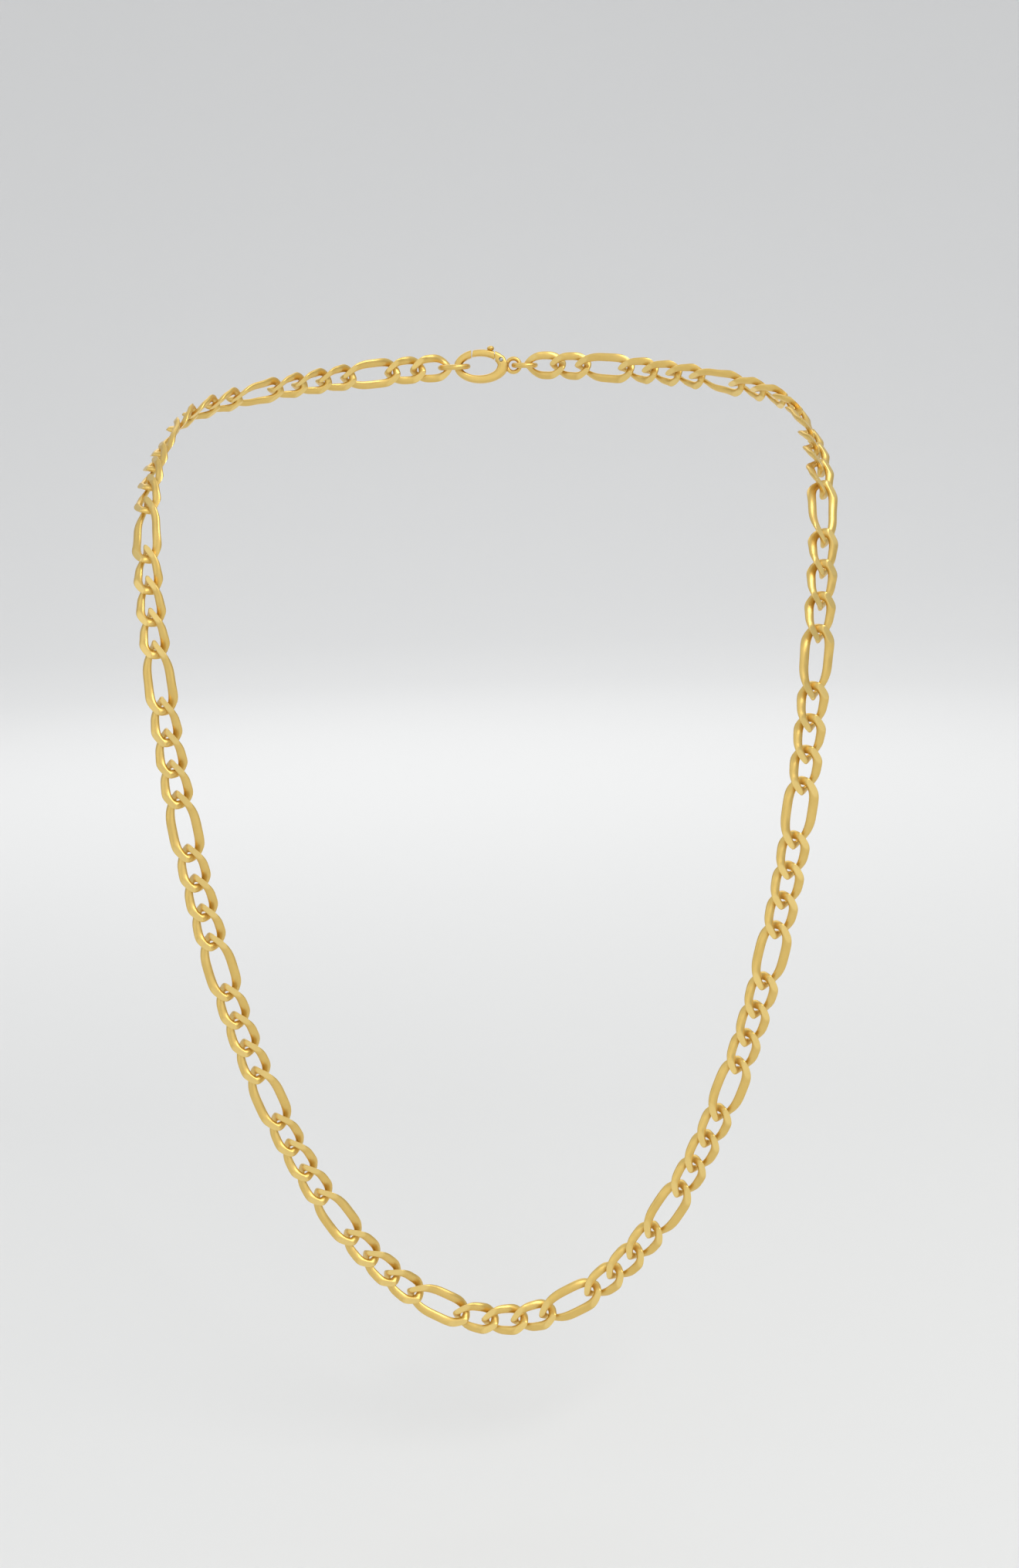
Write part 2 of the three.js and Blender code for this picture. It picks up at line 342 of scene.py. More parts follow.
class MetalShop:
    """Makes the metals, which share one node group for polish, wear, fine scratches and a painted sheen that
    brightens the colour of filed faces.
    """

    CLOUD_TONE = 0.55
    # How far filed faces are pushed towards the bright colour: painted sheen, standing in for the light that
    # their flat faces catch.
    PAINTED_SHEEN_TONE = 0.45
    CLOUD_SHINE = 0.7
    SCRATCH_SHINE = 0.3
    FILED_SHINE = 0.45
    SCRATCH_STRETCH = (1.0, 0.35, 0.12)
    SCRATCH_TURN = (0.4, 0.7, 0.2)
    SCRATCH_DEPTH = 0.02 * MM

    def __init__(self) -> None:
        """Builds the shared group."""
        self.group = self.polish_and_sheen_group()

    def polish_and_sheen_group(self) -> bpy.types.NodeTree:
        """Builds the group that spreads tone, gloss and scratches over a metal, and paints a brighter colour
        on filed faces as painted sheen.

        Returns:
            The group.
        """
        tree = bpy.data.node_groups.new("polish_wear_and_painted_sheen", "ShaderNodeTree")
        graph = Graph(tree)
        start = graph.inputs_of_group(
            [
                ("Vector", "NodeSocketVector", None),
                ("Deep", "NodeSocketColor", (0.5, 0.5, 0.5, 1)),
                ("Bright", "NodeSocketColor", (0.8, 0.8, 0.8, 1)),
                ("Gloss", "NodeSocketFloat", 0.2),
                ("Dull", "NodeSocketFloat", 0.4),
                ("Filed", "NodeSocketFloat", 0.0),
                ("Cloud Scale", "NodeSocketFloat", 260.0),
                ("Scratch Scale", "NodeSocketFloat", 5200.0),
            ]
        ).outputs
        cloud = graph.node(
            "ShaderNodeTexNoise",
            {"Vector": start["Vector"], "Scale": start["Cloud Scale"], "Detail": 4.0, "Roughness": 0.55},
        ).outputs["Fac"]
        turned = graph.node(
            "ShaderNodeMapping",
            {"Vector": start["Vector"], "Scale": self.SCRATCH_STRETCH, "Rotation": self.SCRATCH_TURN},
        )
        lines = graph.node(
            "ShaderNodeTexNoise",
            {"Vector": turned.outputs[0], "Scale": start["Scratch Scale"], "Detail": 3.0, "Roughness": 0.6},
        ).outputs["Fac"]
        # Painted sheen: filed faces get a brighter colour. The roughness drop on them further down is their
        # real polish.
        painted_sheen_tone = graph.times(start["Filed"], self.PAINTED_SHEEN_TONE)
        tone = graph.math("ADD", graph.times(cloud, self.CLOUD_TONE), painted_sheen_tone)
        colour = graph.node("ShaderNodeMix", data_type="RGBA")
        graph.feed(colour.inputs[0], graph.math("MINIMUM", tone, 1.0))
        graph.feed(colour.inputs[6], start["Deep"])
        graph.feed(colour.inputs[7], start["Bright"])
        spread = graph.math("SUBTRACT", start["Dull"], start["Gloss"])
        scratch_shine = graph.times(lines, self.SCRATCH_SHINE)
        uneven = graph.math("ADD", graph.times(cloud, self.CLOUD_SHINE), scratch_shine)
        kept = graph.math("SUBTRACT", 1.0, graph.times(start["Filed"], self.FILED_SHINE))
        rough = graph.math("MULTIPLY_ADD", graph.times(spread, uneven), kept, start["Gloss"])
        graph.outputs_of_group(
            [
                ("Colour", "NodeSocketColor", colour.outputs[2]),
                ("Roughness", "NodeSocketFloat", rough),
                ("Height", "NodeSocketFloat", lines),
            ]
        )
        return tree

    def metal(self, finish: Finish) -> bpy.types.Material:
        """Makes one metal.

        Args:
            finish: its colours and polish.

        Returns:
            The material.
        """
        made = bpy.data.materials.new(finish.name)
        made.use_nodes = True
        graph = Graph(made.node_tree)
        shader = made.node_tree.nodes["Principled BSDF"]
        shader.inputs["Metallic"].default_value = 1.0
        spots = graph.node("ShaderNodeTexCoord").outputs["Object"]
        filed = graph.node("ShaderNodeAttribute", attribute_name="filed").outputs["Fac"]
        wear = graph.node("ShaderNodeGroup", node_tree=self.group)
        for name, value in (
            ("Vector", spots),
            ("Deep", (*finish.deep, 1)),
            ("Bright", (*finish.bright, 1)),
            ("Gloss", finish.gloss),
            ("Dull", finish.dull),
            ("Filed", filed),
            ("Cloud Scale", finish.cloud),
            ("Scratch Scale", finish.scratch),
        ):
            graph.feed(wear.inputs[name], value)
        bump = graph.node(
            "ShaderNodeBump",
            {
                "Height": wear.outputs["Height"],
                "Strength": finish.scratch_height,
                "Distance": self.SCRATCH_DEPTH,
            },
        )
        graph.feed(shader.inputs["Base Color"], wear.outputs["Colour"])
        graph.feed(shader.inputs["Roughness"], wear.outputs["Roughness"])
        graph.feed(shader.inputs["Normal"], bump.outputs["Normal"])
        return made


def plain_piece(name: str, mesh: bpy.types.Mesh, metal: bpy.types.Material | None = None) -> bpy.types.Object:
    """Puts a mesh in the scene as a piece at the origin.

    Args:
        name: the piece's name.
        mesh: its mesh, already in place.
        metal: its material, if the mesh has none yet.

    Returns:
        The piece.
    """
    made = bpy.data.objects.new(name, mesh)
    bpy.context.scene.collection.objects.link(made)
    if metal:
        mesh.materials.clear()
        mesh.materials.append(metal)
    return made


def settled(piece: bpy.types.Object) -> bpy.types.Object:
    """Turns a piece's modifiers into plain mesh.

    Args:
        piece: the piece with modifiers.

    Returns:
        The same piece, with none.
    """
    graph = bpy.context.evaluated_depsgraph_get()
    mesh = bpy.data.meshes.new_from_object(piece.evaluated_get(graph))
    piece.modifiers.clear()
    piece.data = mesh
    return piece


def hand_over(piece: bpy.types.Object, body: str, slot: str, *nodes: str) -> None:
    """Hangs a piece on the body that carries it, and hides the solids that it takes the place of.

    Args:
        piece: the finished piece.
        body: the body that carries it.
        slot: not used.
        nodes: the solids that it takes the place of.
    """
    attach(piece, body)
    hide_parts(*nodes)
    LOG.info("%s rides on %s", piece.name, body)


@dataclass
class Chain:
    """The figaro chain: every link is the same twisted and filed oval of wire, short or long."""

    OWN_SIZES: ClassVar[tuple[str, ...]] = ("Half Length", "Half Width", "Side Wire", "Twist Power")

    drape: Drape
    gold: bpy.types.Material
    last_link: int = 40
    last_hanging_link: int = 25
    pattern: int = 4
    long_place: int = 2
    end_wire: float = 1.7
    thickness: float = 1.1
    slack: float = 0.3
    outline_power: float = 2.6
    end_twist: float = 47
    face_height: float = 1.05
    soft_edge: float = 0.16
    steps: int = 72
    sides: int = 28
    sizes: dict[LinkKind, LinkSize] = field(
        default_factory=lambda: {
            LinkKind.SHORT: LinkSize(pitch=6.16, width=6.3, side_wire=1.8, twist_power=1.4),
            LinkKind.LONG: LinkSize(pitch=10.84, width=7.0, side_wire=1.9, twist_power=2.2),
        }
    )

    def kind(self, number: int) -> LinkKind:
        """Tells whether a link is short or long, by its number from the middle."""
        return LinkKind.LONG if abs(number) % self.pattern == self.long_place else LinkKind.SHORT

    def spans(self) -> dict[int, tuple[float, float]]:
        """Works out the lengths along the chain where each link meets its neighbours.

        Returns:
            The two lengths of each link, by its number from the middle.
        """
        reached = self.sizes[LinkKind.SHORT].pitch / 2
        made = {0: (-reached, reached)}
        for number in range(1, self.last_link + 1):
            following = reached + self.sizes[self.kind(number)].pitch
            made[number], made[-number] = (reached, following), (-following, -reached)
            reached = following
        return made

    def level(self, number: int) -> str:
        """Gives a hanging link's level, counted from the shoulder down."""
        return f"{self.last_hanging_link + 1 - abs(number):02d}"

    def node_name(self, number: int) -> str:
        """Gives the name of a hanging link's solid.

        Args:
            number: the link's number from the middle.

        Returns:
            The name.
        """
        if not number:
            return "middle_link"
        side = Side(int(math.copysign(1, number)))
        return f"{side.name.lower()}_link_{self.level(number)}"

    def link_tree(self) -> bpy.types.NodeTree:
        """Builds the nodes that bend, twist and file one link.

        Returns:
            The tree.
        """
        tree = bpy.data.node_groups.new("curb_link", "GeometryNodeTree")
        graph = Graph(tree)
        number, whole = "NodeSocketFloat", "NodeSocketInt"
        names = (*self.OWN_SIZES, "End Wire", "Thickness", "Power", "Twist", "Face", "Soft Edge")
        start = graph.inputs_of_group(
            [(name, number, 0.0) for name in names] + [("Steps", whole, 16), ("Sides", whole, 8)]
        ).outputs
        sheet = graph.node(
            "GeometryNodeMeshGrid",
            {
                "Size X": 1.0,
                "Size Y": 1.0,
                "Vertices X": graph.math("ADD", start["Steps"], 1.0),
                "Vertices Y": graph.math("ADD", start["Sides"], 1.0),
            },
        ).outputs["Mesh"]
        spot = graph.node("ShaderNodeSeparateXYZ", {0: graph.node("GeometryNodeInputPosition").outputs[0]})
        turn = graph.times(spot.outputs[0], 2 * math.pi)
        roll = graph.times(spot.outputs[1], 2 * math.pi)
        cos_turn, sin_turn = graph.math("COSINE", turn), graph.math("SINE", turn)
        outward, lift = graph.math("COSINE", roll), graph.math("SINE", roll)
        power = graph.math("DIVIDE", 2.0, start["Power"])

        def rounded(value: bpy.types.NodeSocket) -> bpy.types.NodeSocket:
            """Squares an oval's outline a little."""
            size = graph.math("POWER", graph.math("ABSOLUTE", value), power)
            return graph.times(graph.math("SIGN", value), size)

        across_share = graph.times(sin_turn, sin_turn)
        more = graph.math("SUBTRACT", start["Side Wire"], start["End Wire"])
        whole_wire = graph.math("MULTIPLY_ADD", more, across_share, start["End Wire"])
        half_wire = graph.times(whole_wire, 0.5)
        lean_x = graph.math("DIVIDE", cos_turn, start["Half Length"])
        lean_y = graph.math("DIVIDE", sin_turn, start["Half Width"])
        lean = graph.math("SQRT", graph.math("MULTIPLY_ADD", lean_x, lean_x, graph.times(lean_y, lean_y)))
        reach = graph.math("DIVIDE", graph.times(outward, half_wire), lean)
        out_x, out_y = graph.times(lean_x, reach), graph.times(lean_y, reach)
        x = graph.math("MULTIPLY_ADD", start["Half Length"], rounded(cos_turn), out_x)
        y = graph.math("MULTIPLY_ADD", start["Half Width"], rounded(sin_turn), out_y)
        h = graph.times(graph.times(lift, start["Thickness"]), 0.5)
        share_along = graph.math("DIVIDE", x, start["Half Length"])
        gathered = graph.math("POWER", graph.math("ABSOLUTE", share_along), start["Twist Power"])
        twist = graph.times(graph.times(graph.math("SIGN", x), gathered), start["Twist"])
        cos_twist, sin_twist = graph.math("COSINE", twist), graph.math("SINE", twist)
        # The twist runs against the turn, so its sine is taken away from the height.
        new_y = graph.math("MULTIPLY_ADD", h, sin_twist, graph.times(y, cos_twist))
        new_h = graph.math("SUBTRACT", graph.times(h, cos_twist), graph.times(y, sin_twist))
        low = graph.times(start["Face"], -1.0)
        top = graph.math("SMOOTH_MIN", new_h, start["Face"], start["Soft Edge"])
        filed = graph.math("SMOOTH_MAX", top, low, start["Soft Edge"])
        placed = graph.node("ShaderNodeCombineXYZ", {0: x, 1: new_y, 2: filed}).outputs[0]
        # The share of each point that is filed flat. The gold paints these points a brighter colour as painted
        # sheen, and makes them less rough.
        over = graph.math("SUBTRACT", graph.math("ABSOLUTE", new_h), start["Face"])
        share = graph.node("ShaderNodeClamp", {0: graph.math("DIVIDE", over, start["Soft Edge"])}).outputs[0]
        kept = graph.node(
            "GeometryNodeStoreNamedAttribute",
            {"Geometry": sheet, "Name": "filed", "Value": share},
            data_type="FLOAT",
            domain="POINT",
        ).outputs[0]
        bent = graph.node("GeometryNodeSetPosition", {"Geometry": kept, "Position": placed}).outputs[0]
        closed = graph.node("GeometryNodeMergeByDistance", {"Geometry": bent, "Distance": WELD}).outputs[0]
        graph.outputs_of_group([("Mesh", "NodeSocketGeometry", closed)])
        return tree

    def chain_tree(self) -> bpy.types.NodeTree:
        """Builds the nodes that put a link on each of a piece's places.

        Returns:
            The tree.
        """
        link = self.link_tree()
        tree = bpy.data.node_groups.new("figaro_links", "GeometryNodeTree")
        graph = Graph(tree)
        number = "NodeSocketFloat"
        shared = {
            "End Wire": self.end_wire * MM,
            "Thickness": self.thickness * MM,
            "Power": self.outline_power,
            "Twist": math.radians(self.end_twist),
            "Face": self.face_height * MM,
            "Soft Edge": self.soft_edge * MM,
        }
        own: dict[str, float] = {}
        for kind, size in self.sizes.items():
            half_length = (size.pitch + self.slack + self.end_wire) / 2 * MM
            half_width = (size.width - size.side_wire) / 2 * MM
            sizes = (half_length, half_width, size.side_wire * MM, size.twist_power)
            own.update({f"{kind.name.title()} {name}": value for name, value in zip(self.OWN_SIZES, sizes)})
        start = graph.inputs_of_group(
            [("Places", "NodeSocketGeometry", None)]
            + [(name, number, value) for name, value in {**shared, **own}.items()]
            + [("Steps", "NodeSocketInt", self.steps), ("Sides", "NodeSocketInt", self.sides)]
            + [("Metal", "NodeSocketMaterial", None)]
        ).outputs

        def stored(name: str, kind: str) -> bpy.types.NodeSocket:
            """Reads what is stored at each place."""
            made = graph.node("GeometryNodeInputNamedAttribute", {"Name": name}, data_type=kind)
            return made.outputs["Attribute"]

        aim = graph.node(
            "FunctionNodeAxesToRotation",
            {
                "Primary Axis": stored("along", "FLOAT_VECTOR"),
                "Secondary Axis": stored("out", "FLOAT_VECTOR"),
            },
            primary_axis="X",
            secondary_axis="Z",
        ).outputs[0]
        is_long = stored("is_long", "BOOLEAN")
        is_short = graph.node("FunctionNodeBooleanMath", {0: is_long}, operation="NOT").outputs[0]
        joined = graph.node("GeometryNodeJoinGeometry")
        for kind, chosen in ((LinkKind.SHORT, is_short), (LinkKind.LONG, is_long)):
            shape = graph.node("GeometryNodeGroup", node_tree=link)
            for name in (*shared, "Steps", "Sides"):
                graph.feed(shape.inputs[name], start[name])
            for name in self.OWN_SIZES:
                graph.feed(shape.inputs[name], start[f"{kind.name.title()} {name}"])
            put = graph.node(
                "GeometryNodeInstanceOnPoints",
                {
                    "Points": start["Places"],
                    "Selection": chosen,
                    "Instance": shape.outputs[0],
                    "Rotation": aim,
                },
            )
            tree.links.new(put.outputs[0], joined.inputs[0])
        real = graph.node("GeometryNodeRealizeInstances", {"Geometry": joined.outputs[0]}).outputs[0]
        smooth = graph.node("GeometryNodeSetShadeSmooth", {"Geometry": real}).outputs[0]
        dressed = graph.node(
            "GeometryNodeSetMaterial", {"Geometry": smooth, "Material": start["Metal"]}
        ).outputs[0]
        graph.outputs_of_group([("Geometry", "NodeSocketGeometry", dressed)])
        return tree

    def links(self, name: str, numbers: Iterable[int], tree: bpy.types.NodeTree) -> bpy.types.Object:
        """Makes one body's links.

        Args:
            name: the piece's name.
            numbers: which links, numbered from the middle of the front.
            tree: the nodes that make them.

        Returns:
            The piece, as a plain mesh.
        """
        spans, chosen = self.spans(), list(numbers)
        places = [self.drape.between(*spans[number]) for number in chosen]
        mesh = bpy.data.meshes.new(name + "_places")
        mesh.from_pydata([place.translation * MM for place in places], [], [])
        for key, column in (("along", 0), ("out", 2)):
            stored = mesh.attributes.new(key, "FLOAT_VECTOR", "POINT")
            stored.data.foreach_set("vector", [value for place in places for value in place.col[column][:3]])
        longs = mesh.attributes.new("is_long", "BOOLEAN", "POINT")
        longs.data.foreach_set("value", [self.kind(number) is LinkKind.LONG for number in chosen])
        piece = plain_piece(name, mesh)
        modifier = piece.modifiers.new("links", "NODES")
        modifier.node_group = tree
        metal = next(item for item in tree.interface.items_tree if item.name == "Metal")
        modifier[metal.identifier] = self.gold
        settled(piece)
        outward(piece.data)
        return piece

    def build(self) -> None:
        """Makes every link, the hanging ones on the bodies of their levels, the rest on the neck."""
        tree = self.chain_tree()
        hanging = self.last_hanging_link
        for number in range(-hanging, hanging + 1):
            node = self.node_name(number)
            body = f"link_pair_{self.level(number)}" if number else node
            hand_over(self.links(node + "_curb", [number], tree), body, "gold", node)
        for side in Side:
            node = f"{side.name.lower()}_neck_run"
            numbers = [side.value * order for order in range(hanging + 1, self.last_link + 1)]
            hand_over(self.links(node + "_links", numbers, tree), "neck_runs", "gold", node)


def outward(mesh: bpy.types.Mesh) -> None:
    """Merges doubles and turns every face of a closed mesh outwards.

    Args:
        mesh: the mesh that is put right.
    """
    work = bmesh.new()
    work.from_mesh(mesh)
    bmesh.ops.remove_doubles(work, verts=work.verts, dist=WELD)
    bmesh.ops.recalc_face_normals(work, faces=work.faces)
    if work.calc_volume(signed=True) < 0:
        bmesh.ops.reverse_faces(work, faces=work.faces)
    work.to_mesh(mesh)
    work.free()


def wrapped(name: str, steps: int, sides: int, spot: Callable[[float, float], Vector]) -> bpy.types.Mesh:
    """Makes a closed ring-like skin.

    Args:
        name: the mesh's name.
        steps: points round the ring.
        sides: points round its wire.
        spot: gives a point from the shares round the ring and round the wire.

    Returns:
        The mesh, in metres.
    """
    points = [spot(i / steps, j / sides) * MM for i in range(steps) for j in range(sides)]
    faces = [
        (
            i * sides + j,
            (i + 1) % steps * sides + j,
            (i + 1) % steps * sides + (j + 1) % sides,
            i * sides + (j + 1) % sides,
        )
        for i in range(steps)
        for j in range(sides)
    ]
    return skin(name, points, faces)


def tube(name: str, line: Sequence[Vector], radii: Sequence[float], sides: int, up: Vector) -> bpy.types.Mesh:
    """Makes a round bar or wire with closed ends along a line.

    Args:
        name: the mesh's name.
        line: the points that it follows.
        radii: its radius at each.
        sides: points round it.
        up: a direction that the line never follows.

    Returns:
        The mesh, in metres.
    """
    points: list[Vector] = []
    for i, (spot, radius) in enumerate(zip(line, radii)):
        way = (line[min(i + 1, len(line) - 1)] - line[max(i - 1, 0)]).normalized()
        across = up.cross(way).normalized()
        over = way.cross(across)
        for j in range(sides):
            turn = 2 * math.pi * j / sides
            points.append((spot + (across * math.cos(turn) + over * math.sin(turn)) * radius) * MM)
    faces: list[tuple[int, ...]] = [
        (i * sides + j, i * sides + (j + 1) % sides, (i + 1) * sides + (j + 1) % sides, (i + 1) * sides + j)
        for i in range(len(line) - 1)
        for j in range(sides)
    ]
    faces += [tuple(range(sides)), tuple(range(len(points) - sides, len(points)))]
    return skin(name, points, faces)


def plate(name: str, outline: Sequence[tuple[float, float]], low: float, high: float) -> bpy.types.Mesh:
    """Makes a flat plate from its outline.

    Args:
        name: the mesh's name.
        outline: its corners.
        low: the height of its back.
        high: the height of its front.

    Returns:
        The mesh, in metres.
    """
    count = len(outline)
    points = [Vector((x, y, z)) * MM for z in (low, high) for x, y in outline]
    faces: list[tuple[int, ...]] = [
        (i, (i + 1) % count, count + (i + 1) % count, count + i) for i in range(count)
    ]
    faces += [tuple(range(count)), tuple(range(count, 2 * count))]
    return skin(name, points, faces)


def skin(name: str, points: Sequence[Vector], faces: Sequence[tuple[int, ...]]) -> bpy.types.Mesh:
    """Makes a mesh that is smooth and turned outwards.

    Args:
        name: the mesh's name.
        points: its points, in metres.
        faces: the points of each face, which close it.

    Returns:
        The mesh.
    """
    mesh = bpy.data.meshes.new(name)
    mesh.from_pydata(points, [], faces)
    outward(mesh)
    mesh.polygons.foreach_set("use_smooth", [True] * len(mesh.polygons))
    return mesh


def oval(
    x: float, y: float, half_long: float, half_wide: float, count: int = 72
) -> list[tuple[float, float]]:
    """Gives the corners of an oval outline."""
    turns = [2 * math.pi * i / count for i in range(count)]
    return [(x + half_long * math.cos(turn), y + half_wide * math.sin(turn)) for turn in turns]


def box_outline(x0: float, y0: float, x1: float, y1: float) -> list[tuple[float, float]]:
    """Gives the corners of a rectangle."""
    return [(x0, y0), (x1, y0), (x1, y1), (x0, y1)]


class Cut(Enum):
    """How one shape works on another."""

    JOIN = "UNION"
    TAKE = "DIFFERENCE"
    KEEP = "INTERSECT"


def carved(name: str, base: bpy.types.Mesh, works: Sequence[tuple[Cut, bpy.types.Mesh]]) -> bpy.types.Object:
    """Works other shapes into a shape.

    Args:
        name: the piece's name.
        base: the shape that is begun with.
        works: what is joined, taken away or kept, in order.

    Returns:
        The piece, as a plain mesh.
    """
    piece = plain_piece(name, base)
    for cut, tool_mesh in works:
        tool = plain_piece(name + "_tool", tool_mesh)
        modifier = piece.modifiers.new("cut", "BOOLEAN")
        modifier.operation, modifier.object, modifier.solver = cut.value, tool, "EXACT"
        settled(piece)
        bpy.data.objects.remove(tool)
    return piece


@dataclass(frozen=True)
class RingSize:
    """Sizes of a round ring of wire, with a fine groove where its ends were closed."""

    bore: float
    wire: float
    seam_at: float
    seam_depth: float = 0.1
    seam_width: float = 0.006
    play: float = 0.15

    def mesh(self, name: str) -> bpy.types.Mesh:
        """Makes the ring.

        Args:
            name: the mesh's name.

        Returns:
            The mesh, in metres.
        """
        middle = (self.bore + self.wire) / 2

        def spot(round_share: float, wire_share: float) -> Vector:
            """Finds a point of the ring's skin.

            Args:
                round_share: the share of the way round the ring.
                wire_share: the share of the way round its wire.

            Returns:
                The point, in millimetres.
            """
            turn, roll = 2 * math.pi * round_share, 2 * math.pi * wire_share
            off = abs((round_share - self.seam_at + 0.5) % 1 - 0.5)
            wire = self.wire / 2 * (1 - self.seam_depth * math.exp(-((off / self.seam_width) ** 2)))
            reach = middle + wire * math.cos(roll)
            return Vector((reach * math.cos(turn), wire * math.sin(roll), reach * math.sin(turn)))

        return wrapped(name, steps=120, sides=20, spot=spot)


@dataclass(frozen=True)
class Oval:
    """An oval outline whose middle is on the clasp's midline."""

    at: float
    half_long: float
    half_wide: float

    def point(self, turn: float, grown: float) -> Vector:
        """Finds a point of the outline after it has grown by a little all round."""
        across = self.half_wide + grown
        return Vector((self.at + (self.half_long + grown) * math.cos(turn), across * math.sin(turn), 0))


@dataclass
class Clasp:
    """The lobster clasp and its two rings. x runs along it from the eye to the hook, z out of its face."""

    drape: Drape
    gold: bpy.types.Material
    steel: bpy.types.Material
    reach: float
    thickness: float = 2.6
    half_length: float = 7
    past_claw: float = 9
    section_power: float = 3.2
    claw: Oval = Oval(1.6, 6.35, 3.9)
    claw_edge: float = 0.06
    mouth: Oval = Oval(2, 4.15, 2.05)
    eye_at: float = -5.95
    eye_outer: float = 2
    eye_inner: float = 1.05
    eye_thickness: float = 1.3
    gateway_low: float = 0.2
    gate_low: float = 0.5
    gate_from: float = -1.7
    gate_to: float = 3.9
    gate_gap: float = 0.22
    gate_inset: float = 0.15
    gate_thickness: float = 2.2
    gate_reach: float = 6.85
    gate_edge: float = 0.05
    pivot: tuple[float, float] = (-3.1, 1.3)
    pin_radius: float = 0.42
    pin_hole: float = 0.52
    pin_length: float = 2.5
    # How far in from the pin's tip, and the share of its radius there.
    pin_tip: tuple[tuple[float, float], ...] = ((0, 0.5), (0.04, 0.8), (0.12, 1))
    knuckle_radius: float = 1.05
    knuckle_low: float = -0.75
    knuckle_high: float = 0.25
    arm_drop: float = 0.2
    arm_overlap: float = 0.5
    arm_low: float = 0.6
    arm_high: float = 1.3
    slot_radius: float = 1.4
    slot_half: float = 0.85
    slot_overlap: float = 0.1
    tab_at: tuple[float, float] = (-0.7, 3.95)
    tab_radius: float = 0.85
    tab_flatness: float = 0.7
    tab_fullness: float = 0.92
    tab_pole: float = 0.998
    spring_radius: float = 0.82
    spring_wire: float = 0.2
    spring_turns: float = 1.25
    spring_start: float = 0.42
    spring_rise: float = 0.25
    bevel_angle: float = 38
    smooth_angle: float = 40
    jump_ring: RingSize = RingSize(bore=4, wire=1.1, seam_at=0.2)
    end_ring: RingSize = RingSize(bore=5.25, wire=1.2, seam_at=0.3)

    def place(self) -> Matrix:
        """Gives the clasp's place at the nape, in millimetres."""
        spot = self.drape.point(self.drape.half_length() - self.half_length)
        return place_of(Vector((-1, 0, 0)), Vector((0, 0, 1)), Vector((0, spot.y, spot.z)))

    def loop(self, name: str, inset: float, thickness: float) -> bpy.types.Mesh:
        """Makes the claw's closed loop, with crowned faces.

        Args:
            name: the mesh's name.
            inset: how far it stays inside the claw's outline.
            thickness: from its back to its front.

        Returns:
            The mesh, in metres.
        """

        def bent(value: float) -> float:
            """Squares a round section."""
            return math.copysign(abs(value) ** (2 / self.section_power), value)

        def spot(round_share: float, section_share: float) -> Vector:
            """Finds a point of the loop's skin.

            Args:
                round_share: the share of the way round the loop.
                section_share: the share of the way round its section.

            Returns:
                The point, in millimetres.
            """
            turn, roll = 2 * math.pi * round_share, 2 * math.pi * section_share
            outer, inner = self.claw.point(turn, -inset), self.mouth.point(turn, inset)
            made = (outer + inner) / 2 + (outer - inner) / 2 * bent(math.cos(roll))
            made.z = thickness / 2 * bent(math.sin(roll))
            return made

        return wrapped(name, steps=160, sides=40, spot=spot)

    def pin_cut(self) -> bpy.types.Mesh:
        """Makes the shape of the pin's hole."""
        outline = oval(*self.pivot, self.pin_hole, self.pin_hole, count=40)
        return plate("pin_cut", outline, -2 * self.thickness, 2 * self.thickness)

    def body(self) -> bpy.types.Object:
        """Makes the claw with its eye, slot and pin hole.

        Returns:
            The piece, in the clasp's own frame.
        """
        x, y = self.pivot
        deep = 2 * self.thickness

        def eye_spot(round_share: float, section_share: float) -> Vector:
            """Finds a point of the eye's skin.

            Args:
                round_share: the share of the way round the eye.
                section_share: the share of the way round its section.

            Returns:
                The point, in millimetres.
            """
            turn, roll = 2 * math.pi * round_share, 2 * math.pi * section_share
            middle, half = (self.eye_outer + self.eye_inner) / 2, (self.eye_outer - self.eye_inner) / 2
            reach = middle + half * math.cos(roll)
            height = self.eye_thickness / 2 * math.sin(roll)
            return Vector((self.eye_at + reach * math.cos(turn), reach * math.sin(turn), height))

        gateway = box_outline(self.gate_from, self.gateway_low, self.gate_to, self.past_claw)
        slot = oval(x, y, self.slot_radius, self.slot_radius)
        mouth = box_outline(x, y - self.slot_radius, self.gate_from + self.slot_overlap, y + self.slot_radius)
        return carved(
            "clasp_body_claw",
            self.loop("claw", 0, self.thickness),
            [
                (Cut.JOIN, wrapped("eye", steps=96, sides=24, spot=eye_spot)),
                (Cut.TAKE, plate("gateway", gateway, -deep, deep)),
                (Cut.TAKE, plate("slot", slot, -self.slot_half, self.slot_half)),
                (Cut.TAKE, plate("slot_mouth", mouth, -self.slot_half, self.slot_half)),
                (Cut.TAKE, self.pin_cut()),
            ],
        )

    def thumb_tab(self) -> bpy.types.Mesh:
        """Makes the gate's thumb tab, an egg that tapers to its poles.

        Returns:
            The mesh, in metres.
        """
        tab_x, tab_y = self.tab_at
        half = self.gate_thickness / 2
        steps, rows = 48, 25
        points = []
        for i in range(steps):
            turn = 2 * math.pi * (i / steps)
            for j in range(rows):
                rise = math.pi * (j / (rows - 1) - 0.5) * self.tab_pole
                x = tab_x + self.tab_radius * math.cos(turn) * math.cos(rise)
                y = tab_y + self.tab_flatness * self.tab_radius * math.sin(turn) * math.cos(rise)
                points.append(Vector((x, y, half * self.tab_fullness * math.sin(rise))) * MM)
        faces: list[tuple[int, ...]] = [
            (i * rows + j, (i + 1) % steps * rows + j, (i + 1) % steps * rows + j + 1, i * rows + j + 1)
            for i in range(steps)
            for j in range(rows - 1)
        ]
        faces += [tuple(i * rows for i in range(steps)), tuple(i * rows + rows - 1 for i in range(steps))]
        return skin("tab", points, faces)

